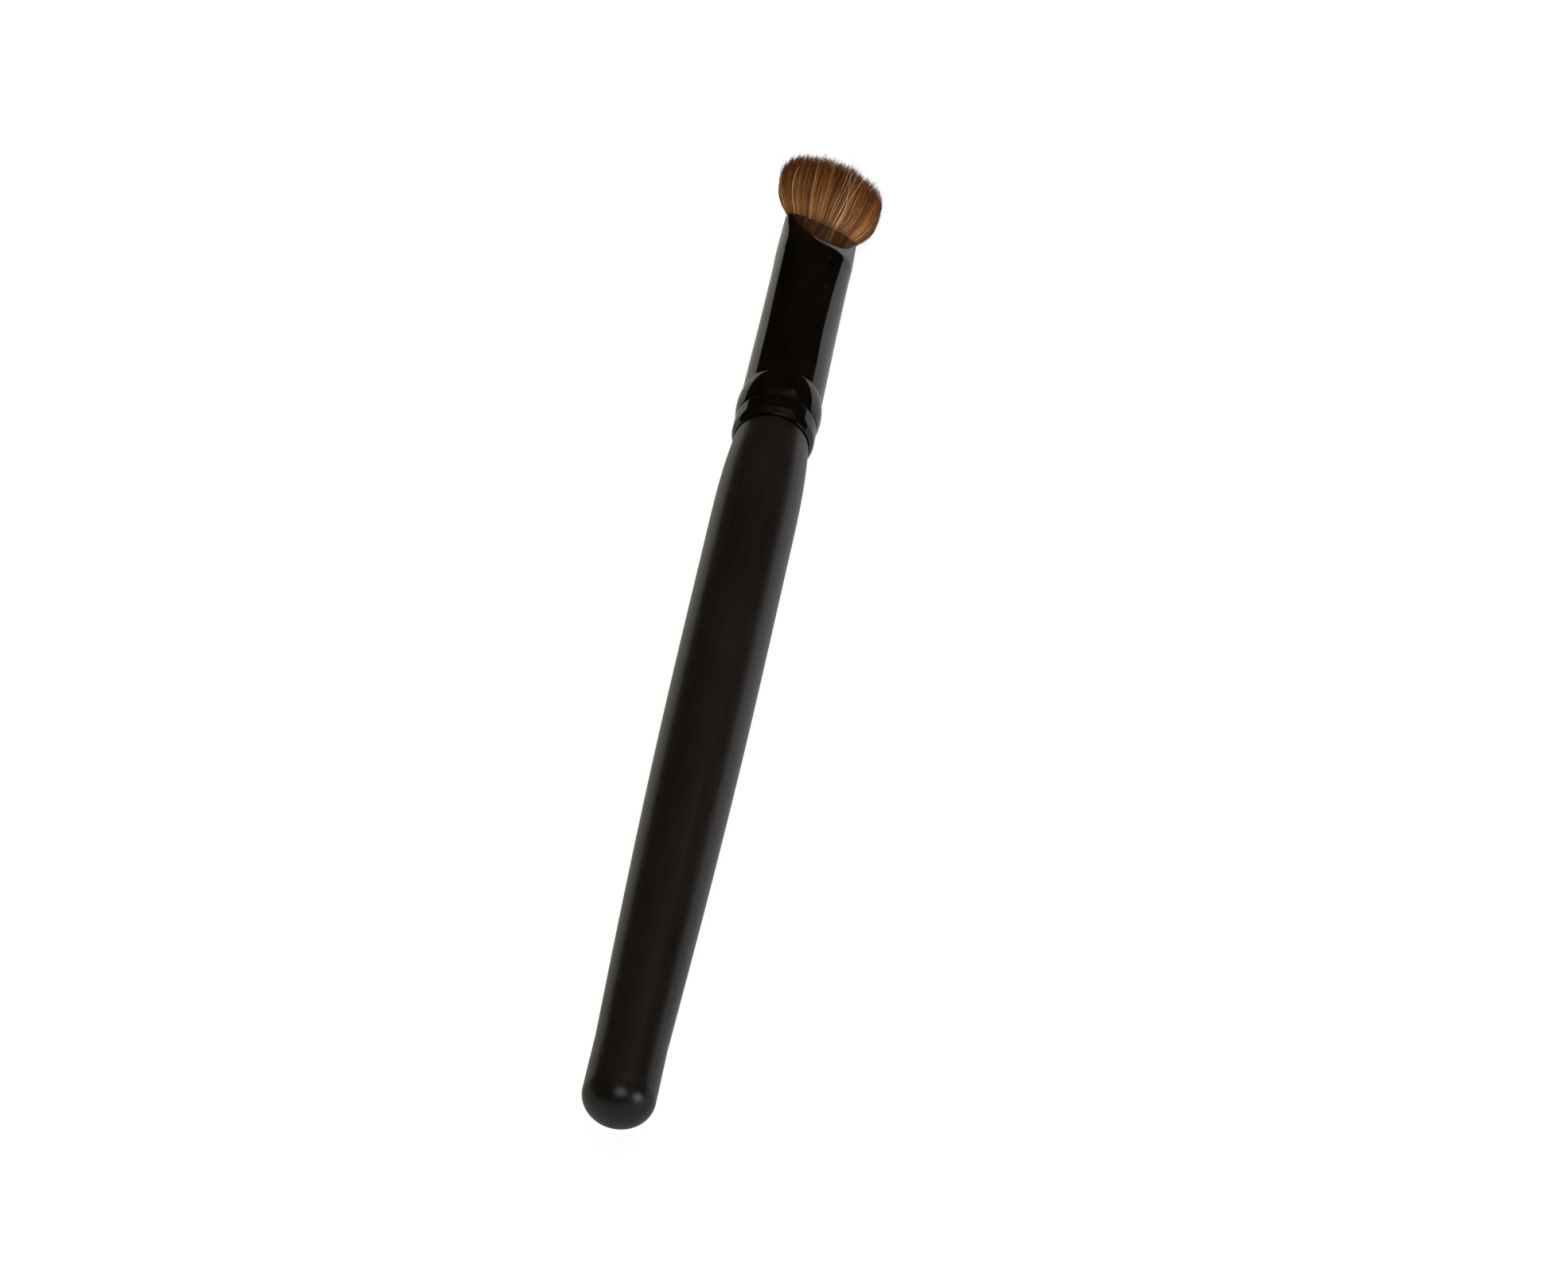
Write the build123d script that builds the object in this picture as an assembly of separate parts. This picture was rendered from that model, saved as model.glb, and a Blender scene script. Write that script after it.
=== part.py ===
from build123d import *
import os

# Slim brush lying along +X with its head at the far end, built on the handle's own axis and
# then moved to rest on Z = 0, centred on the origin.
# While it is built, the axis is the X axis and X = 0 is where the butt's plain cylinder begins.
# Lengths are in millimetres and angles in degrees.

# Handle, from the butt to the tenon
BUTT_R = 3.8
BUTT_DOME = 3.0
BUTT_CYLINDER = 7.0
LOWER_X, LOWER_R = 27.0, 4.45
MIDDLE_X, MIDDLE_R = 57.0, 5.09
BELLY_X, BELLY_R = 88.0, 5.36
NECK_X, NECK_R = 102.5, 5.22
SHOULDER_X, SHOULDER_R = 108.0, 4.9
SHOULDER_ROUND = 0.35
SHOULDER_DROP = 0.3
TENON_R = 4.6
TENON_END_X = 123.0
TENON_CHAMFER = 0.7

# Ferrule, from the rim to the mouth
WALL = 0.35
TUBE_R = 5.35
BORE_R = TUBE_R - WALL
RIM_X, RIM_R = 108.25, 5.05
RIM_INNER_R = 4.7
RIM_ROUND = 0.2
CUFF_X, CUFF_R = 109.6, 5.4
GROOVE_X, GROOVE_R = 112.1, 5.2
GROOVE_HALF = 0.25
BEAD_START_X = GROOVE_X + GROOVE_HALF
BEAD_END_X = 117.3
BEAD_TOP_X = (BEAD_START_X + BEAD_END_X) / 2
BEAD_R = 5.64
MOUTH_X = 158.0
# Oval sections of the tube after the bead: X, half width, half thickness.
# It flattens slowly and smoothly at first, then is pressed straight over its last stretch.
TUBE_STATIONS = (
    (BEAD_END_X, TUBE_R, TUBE_R),
    (123.0, 5.35, 5.35),
    (131.0, 5.35, 5.12),
    (141.0, 5.37, 4.80),
    (148.0, 5.39, 4.56),
)
PRESSED_STATIONS = (
    TUBE_STATIONS[-1],
    (149.4, 5.41, 4.28),
    (MOUTH_X, 5.50, 1.40),
)
# The head is turned about the axis, as the round handle lets it lie
HEAD_ROLL = 25.0

# Glue, binding, resin and hair
FIT_GAP = 0.03
HAIR_GAP = 0.06
GLUE_START_X, GLUE_END_X = 110.2, 121.5
PLUG_X, TUFT_X = 126.5, 129.0
THREAD_R = 0.2
THREAD_PITCH = 0.44
THREAD_TURNS = 5
WAIST_R = 4.1
WAIST_END_X = TUFT_X + (THREAD_TURNS + 3) * THREAD_PITCH
ROOT_R = 4.6
# Free hair beyond the mouth: distance out, half width, half thickness
HAIR_STATIONS = (
    (3.0, 6.45, 2.30),
    (7.0, 7.45, 3.60),
    (10.0, 7.75, 4.10),
    (12.2, 6.95, 3.60),
    (13.6, 5.10, 2.45),
    (14.3, 2.60, 1.10),
)
HEAD_END_X = MOUTH_X + HAIR_STATIONS[-1][0]
MIDDLE = (HEAD_END_X - BUTT_DOME) / 2
# How far along its legs a cubic curve's handles reach when it stands for a quarter of an ellipse
QUARTER = 0.5523


def revolved(outline):
    """A closed outline in the XZ plane, turned about the X axis."""
    return revolve(Plane.XZ * make_face(outline), axis=Axis.X)


def oval(x, half_width, half_thickness):
    """An oval face across the axis, at X = x."""
    across = Plane(origin=(x, 0, 0), x_dir=(0, 1, 0), z_dir=(1, 0, 0))
    return across * Ellipse(half_width, half_thickness)


def oval_loft(stations, inset, ruled):
    """A solid through oval stations that are drawn in by inset all round."""
    return loft([oval(x, width - inset, thickness - inset) for x, width, thickness in stations], ruled=ruled)


def tube_core(inset):
    """The solid inside the tube's outer surface after the bead, drawn in by inset all round."""
    return oval_loft(TUBE_STATIONS, inset, False) + oval_loft(PRESSED_STATIONS, inset, True)


def rolled(piece):
    """Turns a piece of the head about the axis."""
    return Rot(X=HEAD_ROLL) * piece


def make_handle():
    dome = Bezier(
        (-BUTT_DOME, 0),
        (-BUTT_DOME, QUARTER * BUTT_R),
        (-QUARTER * BUTT_DOME, BUTT_R),
        (0, BUTT_R),
    )
    butt = Line((0, BUTT_R), (BUTT_CYLINDER, BUTT_R))
    profile = Spline(
        (BUTT_CYLINDER, BUTT_R),
        (LOWER_X, LOWER_R),
        (MIDDLE_X, MIDDLE_R),
        (BELLY_X, BELLY_R),
        (NECK_X, NECK_R),
        (SHOULDER_X - SHOULDER_ROUND, SHOULDER_R),
    )
    shoulder_foot = (SHOULDER_X, SHOULDER_R - SHOULDER_DROP)
    shoulder = RadiusArc((SHOULDER_X - SHOULDER_ROUND, SHOULDER_R), shoulder_foot, SHOULDER_ROUND)
    tenon = Polyline(
        shoulder_foot,
        (SHOULDER_X, TENON_R),
        (TENON_END_X - TENON_CHAMFER, TENON_R),
        (TENON_END_X, TENON_R - TENON_CHAMFER),
        (TENON_END_X, 0),
        (-BUTT_DOME, 0),
    )
    return revolved([dome, butt, profile, shoulder, tenon])


def make_ferrule_base():
    """The round end of the ferrule: curled rim, cuff, groove and hollow bead."""
    rim_middle = (RIM_X, (RIM_R + RIM_INNER_R) / 2)
    curl = Spline(
        rim_middle,
        (RIM_X + RIM_ROUND, RIM_R),
        (CUFF_X, CUFF_R),
        tangents=((0, 1), (1, 0)),
    )
    groove = Polyline(
        (CUFF_X, CUFF_R),
        (GROOVE_X - GROOVE_HALF, CUFF_R),
        (GROOVE_X, GROOVE_R),
        (BEAD_START_X, TUBE_R),
    )
    bead = ThreePointArc((BEAD_START_X, TUBE_R), (BEAD_TOP_X, BEAD_R), (BEAD_END_X, TUBE_R))
    end = Line((BEAD_END_X, TUBE_R), (BEAD_END_X, BORE_R))
    bead_back = ThreePointArc(
        (BEAD_END_X, BORE_R), (BEAD_TOP_X, BEAD_R - WALL), (BEAD_START_X, BORE_R)
    )
    cuff_back = Polyline(
        (BEAD_START_X, BORE_R),
        (CUFF_X, BORE_R),
        (RIM_X + RIM_ROUND, RIM_INNER_R),
        rim_middle,
    )
    return revolved([curl, groove, bead, end, bead_back, cuff_back])


def make_ferrule():
    return rolled(make_ferrule_base() + (tube_core(0) - tube_core(WALL)))


def make_tenon_glue():
    """The adhesive sleeve between the tenon and the bore."""
    length = GLUE_END_X - GLUE_START_X
    layer = Cylinder(BORE_R - FIT_GAP, length) - Cylinder(TENON_R, length)
    return Pos((GLUE_START_X + GLUE_END_X) / 2, 0, 0) * Rot(Y=90) * layer


def make_root_plug():
    length = TUFT_X - PLUG_X
    return rolled(Pos(PLUG_X + length / 2, 0, 0) * Rot(Y=90) * Cylinder(ROOT_R, length))


def make_binding_thread():
    ring_r = WAIST_R + FIT_GAP + THREAD_R
    turns = []
    for turn in range(THREAD_TURNS):
        x = TUFT_X + (turn + 2) * THREAD_PITCH
        turns.append(Pos(x, 0, 0) * Rot(Y=90) * Torus(ring_r, THREAD_R))
    return Compound(children=turns)


def make_hair_root():
    """The bound end of the tuft: a waist that the thread sits in, and a cone up to the tube."""
    return revolved(
        Polyline(
            (TUFT_X, 0),
            (TUFT_X, WAIST_R),
            (WAIST_END_X, WAIST_R),
            (WAIST_END_X + (ROOT_R - WAIST_R), ROOT_R),
            (WAIST_END_X + 2 * (ROOT_R - WAIST_R), ROOT_R),
            (WAIST_END_X + 2 * (ROOT_R - WAIST_R), 0),
            close=True,
        )
    )


def make_hair_in_tube():
    """The hair between the bound root and the mouth fills the tube."""
    start = WAIST_END_X + (ROOT_R - WAIST_R)
    length = MOUTH_X - start
    span = Pos(start + length / 2, 0, 0) * Box(length, 3 * TUBE_R, 3 * TUBE_R)
    return tube_core(WALL + HAIR_GAP) & span


def make_hair_head():
    """The free hair: it flares out of the oval mouth and ends in a low rounded top."""
    mouth_x, mouth_width, mouth_thickness = PRESSED_STATIONS[-1]
    inset = WALL + HAIR_GAP
    sections = [oval(mouth_x, mouth_width - inset, mouth_thickness - inset)]
    for out, half_width, half_thickness in HAIR_STATIONS:
        sections.append(oval(mouth_x + out, half_width, half_thickness))
    return loft(sections)


def make_hair_tuft():
    return rolled(make_hair_root() + make_hair_in_tube() + make_hair_head())


NODES = {
    "handle": make_handle,
    "ferrule": make_ferrule,
    "tenon_glue": make_tenon_glue,
    "root_plug": make_root_plug,
    "binding_thread": make_binding_thread,
    "hair_tuft": make_hair_tuft,
}

os.makedirs("parts", exist_ok=True)
at_rest = Pos(-MIDDLE, 0, BEAD_R)
for name, make in NODES.items():
    export_step(at_rest * make(), f"parts/{name}.step")
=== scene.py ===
"""The looks of the brush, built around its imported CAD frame.

The brush's lengths are in millimetres, on its own axes, until place() puts them in the frame.
The lengths of the stage, the lights and the camera are in metres, in the frame.
"""
import math

import bpy
import numpy as np
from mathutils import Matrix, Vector


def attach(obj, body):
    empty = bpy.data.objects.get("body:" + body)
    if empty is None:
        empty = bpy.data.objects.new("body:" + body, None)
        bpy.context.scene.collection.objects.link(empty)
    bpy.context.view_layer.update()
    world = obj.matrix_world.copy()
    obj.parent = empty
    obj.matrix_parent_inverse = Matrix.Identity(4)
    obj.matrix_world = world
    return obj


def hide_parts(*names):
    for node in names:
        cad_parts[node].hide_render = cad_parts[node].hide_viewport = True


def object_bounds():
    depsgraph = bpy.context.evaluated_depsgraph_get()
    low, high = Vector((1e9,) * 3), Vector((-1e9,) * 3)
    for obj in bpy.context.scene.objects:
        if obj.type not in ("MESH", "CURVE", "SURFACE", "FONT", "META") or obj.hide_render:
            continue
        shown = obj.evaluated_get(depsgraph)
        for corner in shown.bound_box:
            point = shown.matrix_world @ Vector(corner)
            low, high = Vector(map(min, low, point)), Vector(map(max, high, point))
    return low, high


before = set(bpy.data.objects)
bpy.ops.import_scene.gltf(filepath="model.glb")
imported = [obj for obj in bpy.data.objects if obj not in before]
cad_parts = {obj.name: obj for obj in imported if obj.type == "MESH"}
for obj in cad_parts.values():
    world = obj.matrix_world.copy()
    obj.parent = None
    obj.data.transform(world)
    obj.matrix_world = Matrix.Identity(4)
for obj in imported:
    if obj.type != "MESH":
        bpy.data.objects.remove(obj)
CAD_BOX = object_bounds()

MM = 0.001

# The brush's axis is the X axis here, and X = 0 is where the butt's plain cylinder begins.
BUTT_R, BUTT_DOME, BUTT_CYLINDER = 3.8, 3.0, 7.0
HANDLE_PROFILE = ((7.0, 3.8), (27.0, 4.45), (57.0, 5.09), (88.0, 5.36), (102.5, 5.22), (107.65, 4.9))
SHOULDER_X, SHOULDER_ROUND = 108.0, 0.35
SHOULDER_DROP = SHOULDER_ROUND * 0.85
TENON_R, TENON_END_X, TENON_CHAMFER = 4.6, 123.0, 0.7

WALL = 0.35
TUBE_R, BEAD_R = 5.35, 5.64
BORE_R = TUBE_R - WALL
RIM_X, RIM_R, RIM_INNER_R, RIM_ROUND = 108.25, 5.05, 4.7, 0.2
CUFF_X, CUFF_R = 109.6, 5.4
GROOVE_X, GROOVE_R, GROOVE_HALF = 112.1, 5.2, 0.25
BEAD_START_X, BEAD_END_X = 112.35, 117.3
# The shape of the groove's sides and of the bead's crown
GROOVE_POWER, BEAD_POWER = 1.6, 0.8
MOUTH_X, LIP_R = 158.0, 0.12
# Oval sections of the tube after the bead: X, half width, half thickness, and the power that
# squares the oval's corners
TUBE_STATIONS = (
    (117.3, 5.35, 5.35, 2.0),
    (123.0, 5.35, 5.35, 2.0),
    (131.0, 5.35, 5.12, 2.0),
    (141.0, 5.37, 4.80, 2.1),
    (147.2, 5.385, 4.59, 2.3),
    (148.7, 5.40, 4.43, 2.5),
    (150.0, 5.415, 4.08, 2.7),
    (154.0, 5.455, 2.74, 3.0),
    (158.0, 5.50, 1.40, 3.0),
)
HEAD_ROLL = math.radians(25.0)
TUFT_LENGTH = 14.3
HEAD_END_X = MOUTH_X + TUFT_LENGTH
MIDDLE = (HEAD_END_X - BUTT_DOME) / 2

# The free hair: distance out of the mouth, half width and half thickness that it fans out to
FAN = (
    (-3.0, 5.00, 1.95),
    (-1.0, 5.03, 1.28),
    (0.0, 5.08, 1.03),
    (1.5, 5.80, 1.60),
    (3.0, 6.70, 2.28),
    (5.0, 7.36, 3.05),
    (7.0, 7.70, 3.60),
    (9.0, 7.86, 3.98),
    (11.0, 7.90, 4.15),
    (15.0, 7.90, 4.15),
)
FAN_SMOOTHING = (-0.9, -0.45, 0.0, 0.45, 0.9)
# How much shorter the hair is at the tuft's edge, and how late it begins to drop
EDGE_DROP, EDGE_POWER = 2.9, 3.0
# How far the tips lean, across the half width and the half thickness
LEAN = (-0.50, 0.23)

# The dark core under the strands: its share of the fan, where its dome begins and how high it is
CORE_WIDTH, CORE_THICKNESS, CORE_DOME_X, CORE_DOME = 0.88, 0.80, 8.5, 2.9
# The core inside the ferrule: places before the mouth, its largest radius and its gap to the wall
CORE_ROOT, CORE_ROOT_R, CORE_GAP = (-29.0, -20.0, -10.0, -4.0), 4.55, 0.06

# How far past the CAD box's low and high corners strands may reach, in X, Y and Z, and how far
# before that they begin to turn. The low Z is inside the box, to keep them off the floor.
BOX_SLACK_LOW, BOX_SLACK_HIGH = (-1.5, -0.35, 0.05), (1.5, 0.35, 0.30)
BOX_EASE = 0.9

ROUND_POINTS = 192


def place(points, roll=0.0):
    """Points in millimetres on the brush's own axes, as points in metres in the frame."""
    points = np.asarray(points, float)
    cos, sin = math.cos(roll), math.sin(roll)
    x = points[..., 0] - MIDDLE
    y = cos * points[..., 1] - sin * points[..., 2]
    z = sin * points[..., 1] + cos * points[..., 2] + BEAD_R
    return np.stack([x, y, z], -1) * MM


def eased_into_box(points):
    """Points in the frame, turned smoothly aside before they pass the CAD box by more than the slack."""
    low, high = (np.array(list(corner)) for corner in CAD_BOX)
    low = low + np.array(BOX_SLACK_LOW) * MM
    high = high + np.array(BOX_SLACK_HIGH) * MM
    ease = BOX_EASE * MM
    over = np.maximum(points - (high - ease), 0)
    under = np.maximum((low + ease) - points, 0)
    return points - over + ease * np.tanh(over / ease) + under - ease * np.tanh(under / ease)


def mesh_object(name, vertices, faces, smooth=True):
    """A mesh object from an array of points and a list of faces."""
    mesh = bpy.data.meshes.new(name)
    mesh.from_pydata(np.asarray(vertices).tolist(), [], faces)
    mesh.validate()
    mesh.polygons.foreach_set("use_smooth", [smooth] * len(mesh.polygons))
    mesh.update()
    piece = bpy.data.objects.new(name, mesh)
    bpy.context.scene.collection.objects.link(piece)
    return piece


def ring_faces(rings, around, closed=False):
    """The quads between rings of points, and between the last and the first where closed."""
    index = np.arange(rings * around).reshape(rings, around)
    ahead = np.roll(index, -1, axis=0) if closed else index[1:]
    behind = index if closed else index[:-1]
    quads = np.stack(
        [behind, np.roll(behind, -1, 1), np.roll(ahead, -1, 1), ahead], -1
    )
    return quads.reshape(-1, 4)


def natural_spline(knots, values, at):
    """A natural cubic spline through the values at the knots, read at each of at."""
    knots, values, at = (np.asarray(v, float) for v in (knots, values, at))
    gap = np.diff(knots)
    slope = np.diff(values) / gap
    system = np.eye(len(knots))
    right = np.zeros(len(knots))
    for i in range(1, len(knots) - 1):
        system[i, i - 1 : i + 2] = gap[i - 1], 2 * (gap[i - 1] + gap[i]), gap[i]
        right[i] = 6 * (slope[i] - slope[i - 1])
    bend = np.linalg.solve(system, right)
    i = np.clip(np.searchsorted(knots, at, side="right") - 1, 0, len(knots) - 2)
    left, after = at - knots[i], knots[i + 1] - at
    return (
        (bend[i] * after**3 + bend[i + 1] * left**3) / (6 * gap[i])
        + (values[i] / gap[i] - bend[i] * gap[i] / 6) * after
        + (values[i + 1] / gap[i] - bend[i + 1] * gap[i] / 6) * left
    )


def steady_spline(knots, values, at):
    """A cubic curve through the values that never swings past them."""
    knots, values, at = (np.asarray(v, float) for v in (knots, values, at))
    gap = np.diff(knots)
    slope = np.diff(values) / gap
    turn = np.zeros(len(knots))
    for i in range(1, len(knots) - 1):
        if slope[i - 1] * slope[i] > 0:
            turn[i] = 2 * slope[i - 1] * slope[i] / (slope[i - 1] + slope[i])
    turn[-1] = slope[-1]
    i = np.clip(np.searchsorted(knots, at, side="right") - 1, 0, len(knots) - 2)
    t = (at - knots[i]) / gap[i]
    return (
        values[i] * (1 + 2 * t) * (1 - t) ** 2
        + gap[i] * turn[i] * t * (1 - t) ** 2
        + values[i + 1] * t**2 * (3 - 2 * t)
        + gap[i] * turn[i + 1] * t**2 * (t - 1)
    )


def lathe(name, profile, closed, roll=0.0):
    """A mesh turned from a profile of (X, radius) or (X, half width, half thickness, power)."""
    turn = np.linspace(0, 2 * math.pi, ROUND_POINTS, endpoint=False)
    rings = []
    for section in profile:
        x, width = section[:2]
        thickness, power = section[2:] if len(section) > 2 else (width, 2.0)
        across = width * np.sign(np.cos(turn)) * np.abs(np.cos(turn)) ** (2 / power)
        up = thickness * np.sign(np.sin(turn)) * np.abs(np.sin(turn)) ** (2 / power)
        rings.append(np.stack([np.full(ROUND_POINTS, x), across, up], -1))
    rings = np.array(rings)
    faces = ring_faces(len(profile), ROUND_POINTS, closed).tolist()
    vertices = rings.reshape(-1, 3)
    if not closed:
        ends = [[profile[0][0], 0, 0], [profile[-1][0], 0, 0]]
        first, last = len(vertices), len(vertices) + 1
        vertices = np.vstack([vertices, ends])
        final = (len(profile) - 1) * ROUND_POINTS
        for k in range(ROUND_POINTS):
            after = (k + 1) % ROUND_POINTS
            faces.append([first, after, k])
            faces.append([last, final + k, final + after])
    return mesh_object(name, place(vertices, roll), faces)


# ---------------------------------------------------------------- materials


class Paint:
    """A node material, with short calls for the nodes that it is made of."""

    def __init__(self, name):
        self.material = bpy.data.materials.new(name)
        self.material.use_nodes = True
        self.tree = self.material.node_tree
        self.shader = self.tree.nodes["Principled BSDF"]

    def set(self, **values):
        """Plain values on the shader's own sockets."""
        for name, value in values.items():
            self.shader.inputs[name.replace("_", " ")].default_value = value
        return self

    def node(self, kind, inputs=None, **settings):
        made = self.tree.nodes.new("ShaderNode" + kind)
        for name, value in settings.items():
            setattr(made, name, value)
        for name, value in (inputs or {}).items():
            if isinstance(value, bpy.types.NodeSocket):
                self.tree.links.new(value, made.inputs[name])
            else:
                made.inputs[name].default_value = value
        return made

    def link(self, socket, name):
        self.tree.links.new(socket, self.shader.inputs[name])

    def where(self, scale=(1, 1, 1)):
        """The place on the piece, in millimetres, stretched by scale."""
        place_in = self.node("TexCoord").outputs["Object"]
        scale = [s / MM for s in scale]
        return self.node("Mapping", {"Vector": place_in, "Scale": scale}).outputs[0]

    def noise(self, scale=(1, 1, 1), detail=3.0, rough=0.55, lump=1.0):
        inputs = {"Vector": self.where(scale), "Scale": lump, "Detail": detail, "Roughness": rough}
        return self.node("TexNoise", inputs).outputs["Fac"]

    def spread(self, value, low, high, start=0.3, end=0.7):
        """The value, stretched from start..end to low..high."""
        inputs = {"Value": value, "From Min": start, "From Max": end, "To Min": low, "To Max": high}
        return self.node("MapRange", inputs).outputs[0]

    def ramp(self, value, stops):
        made = self.node("ValToRGB", {"Fac": value})
        elements = made.color_ramp.elements
        while len(elements) < len(stops):
            elements.new(0.5)
        for element, (at, colour) in zip(elements, stops):
            element.position = at
            element.color = (*colour, 1)
        return made.outputs["Color"]

    def maths(self, operation, a, b):
        made = self.node("Math", operation=operation)
        for socket, value in zip(made.inputs, (a, b)):
            if isinstance(value, bpy.types.NodeSocket):
                self.tree.links.new(value, socket)
            else:
                socket.default_value = value
        return made.outputs[0]

    def mix(self, amount, a, b, kind="MIX"):
        made = self.node("Mix", data_type="RGBA", blend_type=kind)
        sockets = [s for s in made.inputs if s.enabled and s.type == "RGBA"]
        for socket, value in zip([made.inputs[0], *sockets], (amount, a, b)):
            if isinstance(value, bpy.types.NodeSocket):
                self.tree.links.new(value, socket)
            else:
                socket.default_value = value
        return next(s for s in made.outputs if s.enabled and s.type == "RGBA")

    def bump(self, heights):
        """Bump from a list of (height, strength, distance in millimetres)."""
        normal = None
        for height, strength, distance in heights:
            inputs = {"Height": height, "Strength": strength, "Distance": distance * MM}
            if normal is not None:
                inputs["Normal"] = normal
            normal = self.node("Bump", inputs).outputs["Normal"]
        self.link(normal, "Normal")


def black_lacquered_wood():
    """Satin black lacquer over fine straight grain."""
    paint = Paint("black_lacquered_wood")
    grain = paint.noise((0.12, 2.2, 2.2), detail=5.0)
    cloud = paint.noise((0.05, 0.12, 0.12), detail=2.0)
    peel = paint.noise((0.9, 1.3, 1.3), detail=2.0)
    fine, broad = paint.maths("MULTIPLY", grain, 0.45), paint.maths("MULTIPLY", cloud, 0.55)
    tone = paint.maths("ADD", fine, broad)
    colour = paint.ramp(
        tone,
        [
            (0.30, (0.0040, 0.0032, 0.0022)),
            (0.55, (0.0068, 0.0052, 0.0036)),
            (0.75, (0.0110, 0.0082, 0.0058)),
        ],
    )
    paint.link(colour, "Base Color")
    paint.link(paint.spread(grain, 0.27, 0.31), "Roughness")
    paint.bump([(grain, 0.02, 0.01), (peel, 0.012, 0.02)])
    paint.set(IOR=1.42)
    return paint.material


def black_lacquered_metal():
    """Gloss black lacquer on drawn aluminium, with fine lengthwise drawing lines, and brown streaks along
    the tube painted into the black as reflection.
    """
    paint = Paint("black_lacquered_metal")
    drawn = paint.noise((0.06, 5.0, 5.0), detail=4.0)
    painted_reflection_streaks = paint.noise((0.10, 0.35, 0.35), detail=3.0)
    # A few scattered grey specks on the black, where the noise runs highest.
    speck_noise = paint.noise((3.2, 3.2, 3.2), detail=1.0)
    speck = paint.spread(speck_noise, 0.0, 1.0, 0.80, 0.84)
    # The black is streaked with brown along the tube: a painted reflection. The same streaks also vary the
    # roughness.
    black = paint.ramp(painted_reflection_streaks, [(0.35, (0.0008, 0.0007, 0.0006)), (0.70, (0.0034, 0.0020, 0.0010))])
    paint.link(paint.mix(speck, black, (0.10, 0.09, 0.08, 1)), "Base Color")
    rough = paint.maths("ADD", paint.spread(painted_reflection_streaks, 0.03, 0.07), paint.spread(drawn, 0.0, 0.03))
    paint.link(rough, "Roughness")
    paint.bump([(drawn, 0.04, 0.01)])
    paint.set(IOR=1.42)
    return paint.material


def hair_material():
    """Brown natural hair: the mesh tells it the place along each strand, its tone and its paleness."""
    paint = Paint("brown_hair")
    told = paint.node("Attribute", attribute_name="strand")
    parts = paint.node("SeparateColor", {"Color": told.outputs["Color"]}).outputs
    # Colour along the strand: darker right at the mouth, lightest just out of it, then darker toward the
    # tips. The darkening toward the tips is partly the hair's own colour and partly painted shade.
    along = paint.ramp(
        parts[0],
        [
            (0.00, (0.105, 0.041, 0.0105)),
            (0.14, (0.225, 0.092, 0.023)),
            (0.45, (0.162, 0.055, 0.0088)),
            (0.72, (0.092, 0.027, 0.0036)),
            (1.00, (0.078, 0.025, 0.0042)),
        ],
    )
    tone = paint.ramp(
        parts[1], [(0.0, (0.18, 0.16, 0.14)), (0.5, (0.90, 0.90, 0.90)), (1.0, (2.3, 2.5, 2.9))]
    )
    brown = paint.mix(1.0, along, tone, "MULTIPLY")
    paint.link(paint.mix(parts[2], brown, (0.80, 0.56, 0.28, 1)), "Base Color")
    paint.link(paint.spread(paint.noise((0.6, 0.6, 0.6)), 0.38, 0.55), "Roughness")
    paint.set(IOR=1.5)
    return paint.material


def hair_core_material():
    """The shade deep in the tuft, streaked along the hair."""
    paint = Paint("hair_core")
    streak = paint.noise((0.25, 6.0, 6.0), detail=4.0)
    colour = paint.ramp(streak, [(0.3, (0.010, 0.0035, 0.001)), (0.7, (0.045, 0.016, 0.004))])
    paint.link(colour, "Base Color")
    paint.link(paint.spread(streak, 0.6, 0.9), "Roughness")
    paint.bump([(streak, 0.6, 0.15)])
    return paint.material


def glue_material():
    paint = Paint("cured_glue")
    lump = paint.noise((0.8, 0.8, 0.8), detail=4.0)
    colour = paint.ramp(lump, [(0.3, (0.46, 0.38, 0.24)), (0.7, (0.62, 0.55, 0.40))])
    paint.link(colour, "Base Color")
    paint.link(paint.spread(lump, 0.45, 0.70), "Roughness")
    paint.bump([(lump, 0.4, 0.10)])
    return paint.material


def resin_material():
    paint = Paint("hard_resin")
    swirl = paint.noise((0.5, 0.5, 0.5), detail=4.0)
    colour = paint.ramp(swirl, [(0.3, (0.16, 0.06, 0.012)), (0.7, (0.30, 0.14, 0.035))])
    paint.link(colour, "Base Color")
    paint.link(paint.spread(swirl, 0.12, 0.30), "Roughness")
    paint.bump([(swirl, 0.2, 0.08)])
    return paint.material


def thread_material():
    paint = Paint("binding_thread")
    wave = {"Vector": paint.where((6.0, 6.0, 6.0)), "Scale": 1.0, "Distortion": 1.5}
    ply = paint.node("TexWave", wave, bands_direction="DIAGONAL").outputs["Fac"]
    fuzz = paint.noise((9.0, 9.0, 9.0))
    colour = paint.ramp(ply, [(0.2, (0.42, 0.34, 0.22)), (0.8, (0.66, 0.58, 0.43))])
    paint.link(colour, "Base Color")
    paint.link(paint.spread(fuzz, 0.75, 0.95), "Roughness")
    paint.bump([(ply, 0.6, 0.05), (fuzz, 0.4, 0.03)])
    return paint.material


# ---------------------------------------------------------------- handle and ferrule


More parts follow.
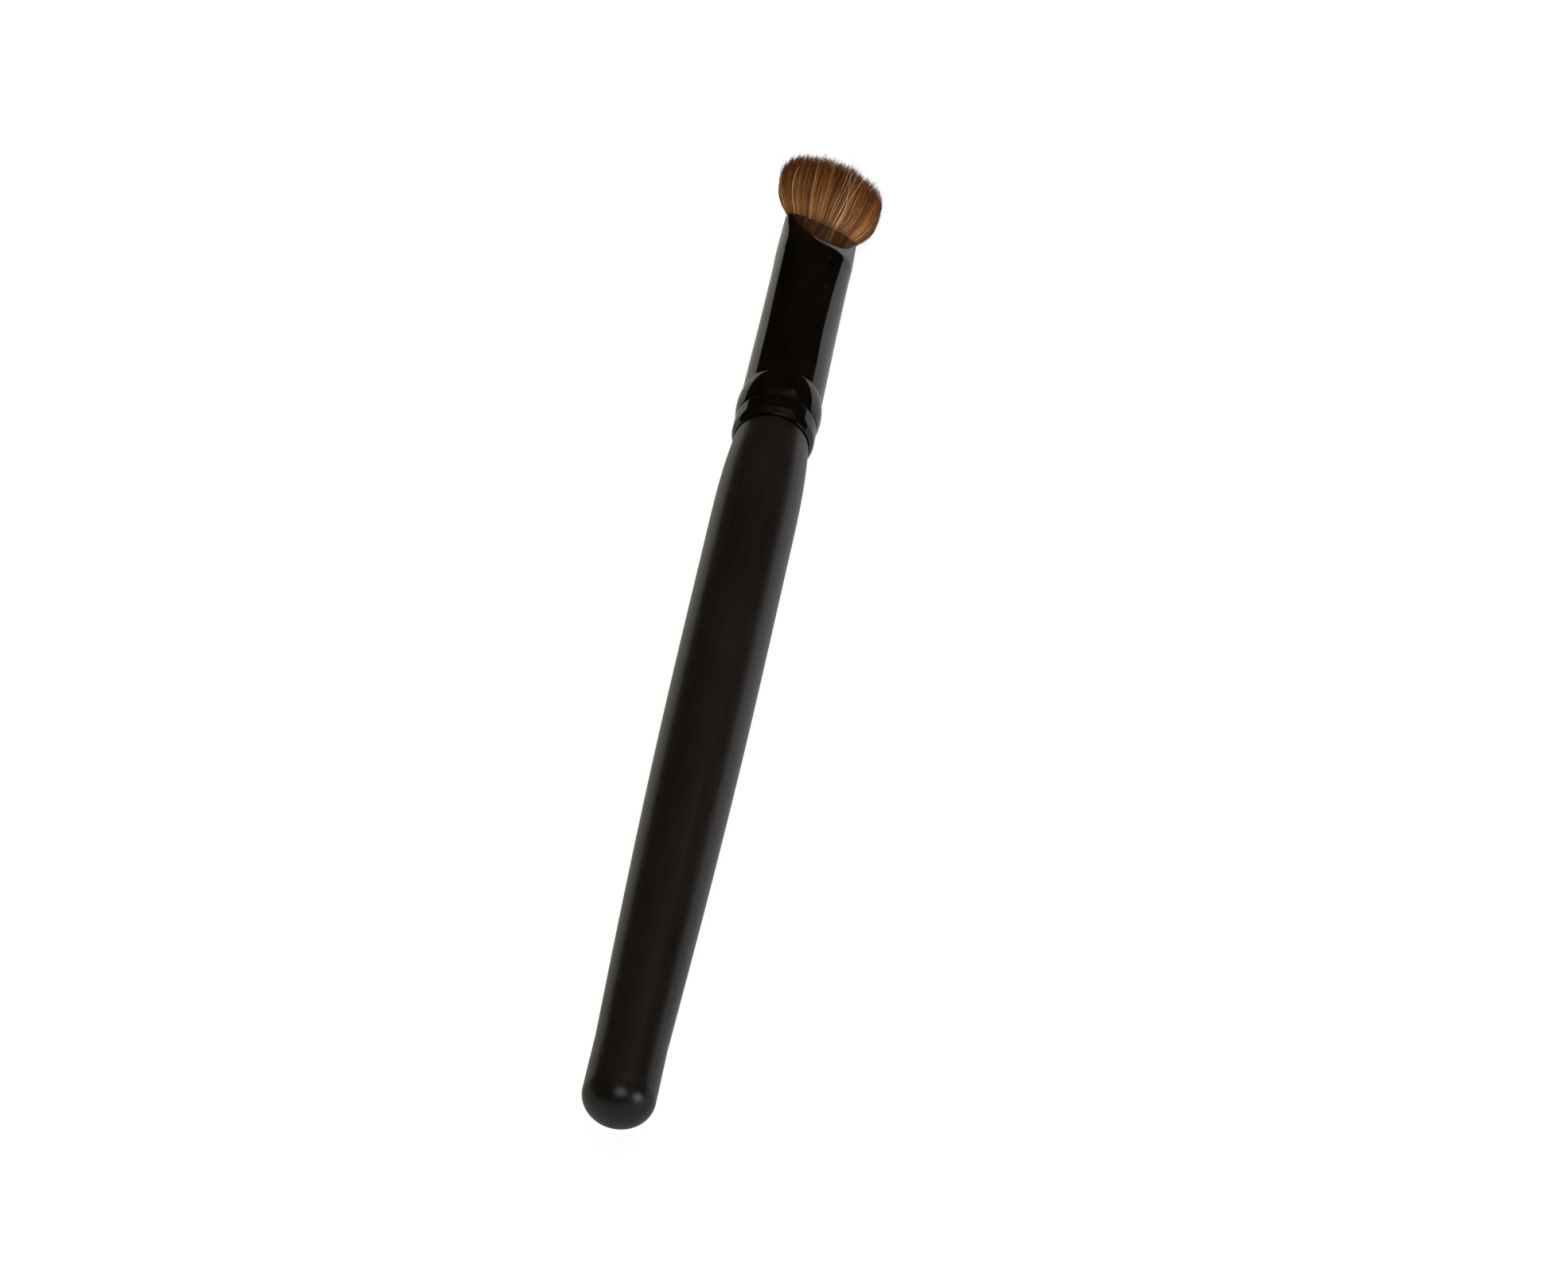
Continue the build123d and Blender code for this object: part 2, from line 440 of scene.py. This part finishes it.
def handle_profile():
    """The turned outline, from the tip of the butt's dome to the end of the tenon."""
    points = []
    for angle in np.linspace(0.02, math.pi / 2, 40):
        points.append((-BUTT_DOME * math.cos(angle), BUTT_R * math.sin(angle)))
    for x in np.linspace(0.5, BUTT_CYLINDER - 0.5, 8):
        points.append((x, BUTT_R))
    knots = [p[0] for p in HANDLE_PROFILE]
    radii = [p[1] for p in HANDLE_PROFILE]
    stations = np.linspace(knots[0], knots[-1], 140)
    points += list(zip(stations, natural_spline(knots, radii, stations)))
    last_r = radii[-1]
    for angle in np.linspace(0.2, math.pi / 2, 7):
        x = knots[-1] + SHOULDER_ROUND * math.sin(angle)
        points.append((x, last_r - SHOULDER_DROP * (1 - math.cos(angle))))
    points += [
        (SHOULDER_X, TENON_R),
        (SHOULDER_X + 0.05, TENON_R),
        (TENON_END_X - TENON_CHAMFER, TENON_R),
        (TENON_END_X, TENON_R - TENON_CHAMFER),
        (TENON_END_X, 1.0),
    ]
    return points


def tube_at(x, inset):
    """Half width and half thickness of the tube at X, drawn in by inset."""
    knots = [s[0] for s in TUBE_STATIONS]
    width, thickness, power = (steady_spline(knots, [s[i] for s in TUBE_STATIONS], x) for i in (1, 2, 3))
    return float(width) - inset, float(thickness) - inset, float(power)


def ferrule_profile():
    """One loop of sections: out along the outer face, round the mouth and back inside."""
    rim_middle = (RIM_R + RIM_INNER_R) / 2
    points = []
    for angle in np.linspace(0, math.pi / 2, 9):
        x = RIM_X + RIM_ROUND * (1 - math.cos(angle))
        points.append((x, rim_middle + (RIM_R - rim_middle) * math.sin(angle)))
    for t in np.linspace(0.15, 1, 10):
        x = RIM_X + RIM_ROUND + (CUFF_X - RIM_X - RIM_ROUND) * t
        points.append((x, RIM_R + (CUFF_R - RIM_R) * (1 - (1 - t) ** 2)))
    points += [(x, CUFF_R) for x in np.linspace(CUFF_X + 0.4, GROOVE_X - GROOVE_HALF - 0.05, 6)]
    for t in np.linspace(0, 1, 9):
        x = GROOVE_X - GROOVE_HALF + 2 * GROOVE_HALF * t
        side = CUFF_R if t < 0.5 else TUBE_R
        points.append((x, GROOVE_R + (side - GROOVE_R) * abs(2 * t - 1) ** GROOVE_POWER))
    for t in np.linspace(0, 1, 34)[1:-1]:
        x = BEAD_START_X + (BEAD_END_X - BEAD_START_X) * t
        points.append((x, TUBE_R + (BEAD_R - TUBE_R) * math.sin(math.pi * t) ** BEAD_POWER))
    outer = [(x, *tube_at(x, 0)) for x in np.linspace(BEAD_END_X, MOUTH_X - LIP_R, 150)]
    mouth = []
    for angle in np.linspace(0, math.pi / 2, 6):
        inset = LIP_R * (1 - math.cos(angle))
        mouth.append((MOUTH_X - LIP_R + LIP_R * math.sin(angle), *tube_at(MOUTH_X, inset)))
    for angle in np.linspace(0, math.pi / 2, 6):
        inset = WALL - LIP_R * (1 - math.sin(angle))
        mouth.append((MOUTH_X - LIP_R + LIP_R * math.cos(angle), *tube_at(MOUTH_X, inset)))
    inner = [(x, *tube_at(x, WALL)) for x in np.linspace(MOUTH_X - 0.4, BEAD_END_X + 0.3, 60)]
    back = []
    for t in np.linspace(0, 1, 18):
        x = BEAD_END_X + (BEAD_START_X - BEAD_END_X) * t
        back.append((x, BORE_R + (BEAD_R - TUBE_R) * math.sin(math.pi * t) ** BEAD_POWER))
    back += [(CUFF_X, BORE_R), (RIM_X + RIM_ROUND, RIM_INNER_R)]
    return points + outer + mouth + inner + back


# ---------------------------------------------------------------- hair


def fan(distance):
    """Half width and half thickness of the fanned hair at each distance out of the mouth."""
    knots, widths, thicknesses = zip(*FAN)
    return np.interp(distance, knots, widths), np.interp(distance, knots, thicknesses)


def smooth_fan(distance):
    """As fan, averaged over a short stretch so that its corners go."""
    near = [fan(distance + offset) for offset in FAN_SMOOTHING]
    widths, thicknesses = zip(*near)
    return sum(widths) / len(near), sum(thicknesses) / len(near)


def hair_length(edge):
    """How far a strand reaches, from its place between the tuft's middle, 0, and its edge, 1."""
    return TUFT_LENGTH - EDGE_DROP * np.abs(edge) ** EDGE_POWER


class Tuft:
    """Draws strands into one tuft, all from one seeded generator."""

    SIDES = 3
    # Where strands begin, before the mouth
    START = -1.2
    # Spread of length, tone and lean from clump to clump, and of length and tone between strands
    CLUMP_LENGTH, CLUMP_TONE, CLUMP_LEAN = 0.10, 0.08, 0.16
    LENGTH, TONE = 0.42, 0.29
    # How much farther loose strands lean and wave than the others, and how much longer they may be
    LOOSE_LEAN, LOOSE_WAVE, LOOSE_LENGTH = 3.4, 2.4, 0.7
    # Least and most of a clump's pull, of a strand's wave and of the length of one wave
    PULL, WAVE, PITCH = (0.05, 0.35), (0.02, 0.09), (5.0, 11.0)
    # How far clumps crowd toward the edge, the spread of paleness, and how far the lean goes on growing
    CLUMP_POWER, PALE_SPREAD, FREE_LIMIT = 0.42, 0.1, 1.1
    # How late the lean and the clumps' pull set in, and the taper toward the tip
    LEAN_POWER, PULL_POWER, TAPER_POWER = 2.2, 2.0, 1.6

    def __init__(self, seed, clumps):
        self.rng = np.random.default_rng(seed)
        turn = self.rng.uniform(0, 2 * math.pi, clumps)
        out = self.rng.uniform(0, 1, clumps) ** self.CLUMP_POWER
        self.centres = np.stack([out * np.cos(turn), out * np.sin(turn)], -1)
        self.pull = self.rng.uniform(*self.PULL, clumps)
        self.clump_length = self.rng.normal(0, self.CLUMP_LENGTH, clumps)
        self.clump_tone = self.rng.normal(0, self.CLUMP_TONE, clumps)
        self.clump_lean = self.rng.normal(0, self.CLUMP_LEAN, (clumps, 2))

    def strands(self, out, root_r, tip_r, stray=0.0, pale=0.0, reach=0.0, bend=0.24, steps=9):
        """Paths, radii and colours for one strand rooted at each of out from the middle."""
        count = len(out)
        rng = self.rng
        turn = rng.uniform(0, 2 * math.pi, count)
        root = np.stack([out * np.cos(turn), out * np.sin(turn)], -1)
        nearest = ((root[:, None] - self.centres[None]) ** 2).sum(-1).argmin(1)
        centre, pull = self.centres[nearest], self.pull[nearest]
        length = hair_length(out) + self.clump_length[nearest]
        length = length + rng.normal(0, self.LENGTH, count) + reach
        loose = rng.uniform(0, 1, count) < stray
        lean = rng.normal(0, bend, (count, 2)) * np.where(loose, self.LOOSE_LEAN, 1.0)[:, None]
        lean += self.clump_lean[nearest] + LEAN
        length += np.where(loose, rng.uniform(0, self.LOOSE_LENGTH, count), 0)
        wave = rng.uniform(*self.WAVE, (count, 2)) * np.where(loose, self.LOOSE_WAVE, 1.0)[:, None]
        phase = rng.uniform(0, 2 * math.pi, (count, 2))
        pitch = rng.uniform(*self.PITCH, (count, 1))
        along = np.linspace(0, 1, steps + 1)
        x = self.START + (length[:, None] - self.START) * along[None]
        free = np.clip(x / TUFT_LENGTH, 0, self.FREE_LIMIT)
        width, thickness = smooth_fan(x)
        drawn = (pull[:, None] * free**self.PULL_POWER)[..., None]
        at = root[:, None] + drawn * (centre - root)[:, None]
        side = at * np.stack([width, thickness], -1)
        side += lean[:, None] * (free**self.LEAN_POWER)[..., None]
        ripple = np.sin(2 * math.pi * x[..., None] / pitch[:, None] + phase[:, None])
        side += wave[:, None] * ripple * free[..., None]
        paths = np.concatenate([(MOUTH_X + x)[..., None], side], -1)
        radii = root_r + (tip_r - root_r) * along[None] ** self.TAPER_POWER * np.ones((count, 1))
        tone = np.clip(0.5 + rng.normal(0, self.TONE, count) + self.clump_tone[nearest], 0, 1)
        is_pale = np.clip(pale + rng.normal(0, self.PALE_SPREAD, count), 0, 1) if pale else np.zeros(count)
        tones, pales = (np.repeat(each[:, None], len(along), 1) for each in (tone, is_pale))
        colour = np.stack([np.clip(free, 0, 1), tones, pales], -1)
        return paths, radii, colour

    def mesh(self, name, strands, material):
        """One closed thin tube for each of the strands."""
        paths, radii, colour = strands
        paths = eased_into_box(place(paths, HEAD_ROLL))
        radii = radii * MM
        count, steps = radii.shape
        ahead = np.gradient(paths, axis=1)
        ahead /= np.linalg.norm(ahead, axis=-1, keepdims=True)
        across = np.cross(ahead, [0.0, 0.0, 1.0])
        across /= np.linalg.norm(across, axis=-1, keepdims=True)
        third = np.cross(ahead, across)
        rings = []
        for side in range(self.SIDES):
            angle = 2 * math.pi * side / self.SIDES
            offset = math.cos(angle) * across + math.sin(angle) * third
            rings.append(paths + offset * radii[..., None])
        vertices = np.stack(rings, 2)
        index = np.arange(count * steps * self.SIDES).reshape(count, steps, self.SIDES)
        around = np.roll(index, -1, axis=2)
        quads = np.stack([index[:, :-1], around[:, :-1], around[:, 1:], index[:, 1:]], -1)
        caps = np.concatenate([index[:, 0, ::-1], index[:, -1]])
        faces = quads.reshape(-1, 4).tolist() + caps.tolist()
        piece = mesh_object(name, vertices.reshape(-1, 3), faces)
        told = piece.data.attributes.new("strand", "FLOAT_COLOR", "POINT")
        shades = np.ones((count, steps, self.SIDES, 4), np.float32)
        shades[..., :3] = colour[:, :, None]
        told.data.foreach_set("color", shades.ravel())
        piece.data.materials.append(material)
        return piece


def hair_core(material):
    """The dense middle of the tuft, which keeps light from passing between the strands."""
    profile = []
    for x in CORE_ROOT:
        width, thickness, power = tube_at(MOUTH_X + x, WALL + CORE_GAP)
        profile.append((MOUTH_X + x, min(width, CORE_ROOT_R), min(thickness, CORE_ROOT_R), power))
    for x in np.linspace(-0.6, CORE_DOME_X, 16):
        width, thickness = smooth_fan(x)
        profile.append((MOUTH_X + x, width * CORE_WIDTH, thickness * CORE_THICKNESS, 2.0))
    width, thickness = smooth_fan(CORE_DOME_X)
    for angle in np.linspace(0.15, 1.45, 10):
        shrink = math.cos(angle)
        x = MOUTH_X + CORE_DOME_X + CORE_DOME * math.sin(angle)
        profile.append((x, width * CORE_WIDTH * shrink, thickness * CORE_THICKNESS * shrink, 2.0))
    piece = lathe("hair_core", profile, False, HEAD_ROLL)
    piece.data.materials.append(material)
    return piece


# ---------------------------------------------------------------- the brush

for name, make in (
    ("tenon_glue", glue_material),
    ("root_plug", resin_material),
    ("binding_thread", thread_material),
):
    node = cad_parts[name]
    node.data.materials.clear()
    node.data.materials.append(make())

handle = lathe("handle_turned", handle_profile(), False)
handle.data.materials.append(black_lacquered_wood())
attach(handle, "root")
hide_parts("handle")

ferrule = lathe("ferrule_tube", ferrule_profile(), True, HEAD_ROLL)
ferrule.data.materials.append(black_lacquered_metal())
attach(ferrule, "root")
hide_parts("ferrule")

brown = hair_material()
core = hair_core(hair_core_material())
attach(core, "root")
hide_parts("hair_tuft")

tuft = Tuft(seed=11, clumps=230)
rng = tuft.rng


def add_hair(name, strands):
    """One piece of hair on the brush."""
    piece = tuft.mesh(name, strands, brown)
    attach(piece, "root")


# The body of the hair: name, strands, and the nearest and farthest roots from the middle
BODY = (
    ("hair_inner", 2900, 0.0, 0.88),
    ("hair_middle", 2900, 0.62, 1.0),
    ("hair_outer", 2900, 0.90, 1.01),
)
FRINGE_STRANDS, PALE_STRANDS = 5000, 26
for name, count, low, high in BODY:
    roots = np.sqrt(rng.uniform(low**2, high**2, count))
    add_hair(name, tuft.strands(roots, root_r=0.038, tip_r=0.010, stray=0.03, bend=0.30))
roots = np.sqrt(rng.uniform(0.0, 1.03, FRINGE_STRANDS))
fringe = tuft.strands(roots, root_r=0.020, tip_r=0.005, stray=0.08, reach=0.32, bend=0.42, steps=6)
add_hair("hair_fringe", fringe)
roots = rng.uniform(0.98, 1.03, PALE_STRANDS)
pale = tuft.strands(roots, root_r=0.025, tip_r=0.011, stray=0.6, pale=0.9, bend=0.55, steps=14)
add_hair("hair_pale_strands", pale)


# ---------------------------------------------------------------- stage, light and camera


# The paper's grey in bounced and mirrored light, its grey in direct view, and its glow there.
# The glow is for direct view only. It makes the paper nearly white, as a bright exposure would.
PAPER_GREY, PAPER_SEEN_GREY, PAPER_GLOW = 0.40, 0.13, 0.90
FLOOR_HALF = 4.0


def stage_material():
    """Plain pale paper, the same all over, and darker in bounced and mirrored light than in view."""
    paint = Paint("stage_paper")
    seen = paint.node("LightPath").outputs["Is Camera Ray"]
    bounced, direct = ((grey, grey, grey, 1) for grey in (PAPER_GREY, PAPER_SEEN_GREY))
    paint.link(paint.mix(seen, bounced, direct), "Base Color")
    paint.set(Roughness=0.9, Specular_IOR_Level=0.0, Emission_Color=(1.0, 1.0, 1.0, 1))
    paint.link(paint.maths("MULTIPLY", seen, PAPER_GLOW), "Emission Strength")
    return paint.material


corners = [(x * FLOOR_HALF, y * FLOOR_HALF, 0) for x, y in ((-1, -1), (1, -1), (1, 1), (-1, 1))]
floor = mesh_object("stage_floor", corners, [(0, 1, 2, 3)], smooth=False)
floor.data.materials.append(stage_material())


def area_light(name, place_at, aim_at, size, radiance, colour=(1, 1, 1), mirrored=False):
    """A soft rectangular light whose face has the given radiance, seen in gloss if mirrored."""
    light = bpy.data.lights.new(name, "AREA")
    light.shape = "RECTANGLE"
    light.size, light.size_y = size
    light.energy = radiance * math.pi * size[0] * size[1]
    light.color = colour
    lamp = bpy.data.objects.new(name, light)
    bpy.context.scene.collection.objects.link(lamp)
    lamp.location = place_at
    lamp.visible_glossy = mirrored
    lamp.rotation_euler = (Vector(aim_at) - Vector(place_at)).to_track_quat("-Z", "Y").to_euler()


# The middle of the brush, and the same a little toward the hair, which the lights face
CENTRE, AHEAD = (0, 0, 0), (0.02, 0.0, 0)
area_light("overhead", (0.20, -0.10, 1.10), CENTRE, (1.0, 1.0), 3.0)
area_light("left_warm", (0.10, 0.95, 0.36), AHEAD, (0.9, 0.35), 6.0, (1.0, 0.88, 0.26))
area_light("right_cool", (0.10, -0.95, 0.36), AHEAD, (0.9, 0.35), 12.0, (0.72, 0.70, 1.0))
area_light("ahead_fill", (0.95, 0.10, 0.30), CENTRE, (0.7, 0.5), 5.0)

# A dim panel ahead of the brush, which the bead, the cuff and the taper to the butt mirror
PANEL_PLACE, PANEL_COLOUR = (0.28, -0.40, 0.76), (1.0, 0.90, 0.74)
area_light("ahead_panel", PANEL_PLACE, CENTRE, (0.6, 0.6), 0.22, PANEL_COLOUR, mirrored=True)


LAMP_DISTANCE = 0.9


def lamp_at(name, turn, height, size, radiance, colour):
    """A square light that the butt mirrors, seen from it at turn and height, in degrees."""
    turn, height = math.radians(turn), math.radians(height)
    butt = Vector((CAD_BOX[0][0], 0, BEAD_R * MM))
    level = math.cos(height)
    reach = Vector((level * math.cos(turn), level * math.sin(turn), math.sin(height)))
    place_at = butt + LAMP_DISTANCE * reach
    area_light(name, place_at, butt, (size, size), radiance, colour, mirrored=True)


lamp_at("behind_left", -168, 40, 0.40, 3.0, (0.84, 1.0, 0.95))
lamp_at("behind_right", -122, 8, 0.38, 4.4, (0.86, 1.0, 0.91))

# The dark room above the paper, from the horizon to straight up, for all but direct view
ROOM = (
    (0.00, (0.010, 0.007, 0.005)),
    (0.62, (0.012, 0.009, 0.006)),
    (0.78, (0.040, 0.031, 0.022)),
    (0.95, (0.130, 0.115, 0.095)),
)


def studio():
    """A pale backdrop where it is seen directly, and the dark room in all other light."""
    world = bpy.data.worlds.new("studio")
    bpy.context.scene.world = world
    world.use_nodes = True
    tree = world.node_tree
    seen = tree.nodes.new("ShaderNodeLightPath").outputs["Is Camera Ray"]
    height = tree.nodes.new("ShaderNodeSeparateXYZ")
    tree.links.new(tree.nodes.new("ShaderNodeTexCoord").outputs["Generated"], height.inputs[0])
    room = tree.nodes.new("ShaderNodeValToRGB")
    elements = room.color_ramp.elements
    while len(elements) < len(ROOM):
        elements.new(0.5)
    for element, (at, colour) in zip(elements, ROOM):
        element.position = at
        element.color = (*colour, 1)
    tree.links.new(height.outputs["Z"], room.inputs[0])
    shade = tree.nodes.new("ShaderNodeMix")
    shade.data_type = "RGBA"
    dark, pale = (s for s in shade.inputs if s.enabled and s.type == "RGBA")
    tree.links.new(seen, shade.inputs[0])
    tree.links.new(room.outputs[0], dark)
    pale.default_value = (1.0, 1.0, 1.0, 1)
    result = next(s for s in shade.outputs if s.enabled and s.type == "RGBA")
    tree.links.new(result, tree.nodes["Background"].inputs["Color"])


studio()

CAMERA_PLACE = (-0.25965, -0.04125, 0.22683)
CAMERA_TILT, CAMERA_TURN = math.radians(48.35), math.radians(-82.04)
camera_data = bpy.data.cameras.new("camera")
camera_data.lens = 63.96
camera_data.sensor_width = 36.0
camera_data.clip_start = 0.005
camera = bpy.data.objects.new("camera", camera_data)
camera.location = CAMERA_PLACE
camera.rotation_euler = (CAMERA_TILT, 0, CAMERA_TURN)
bpy.context.scene.collection.objects.link(camera)
bpy.context.scene.camera = camera
bpy.context.scene.view_settings.view_transform = "Standard"
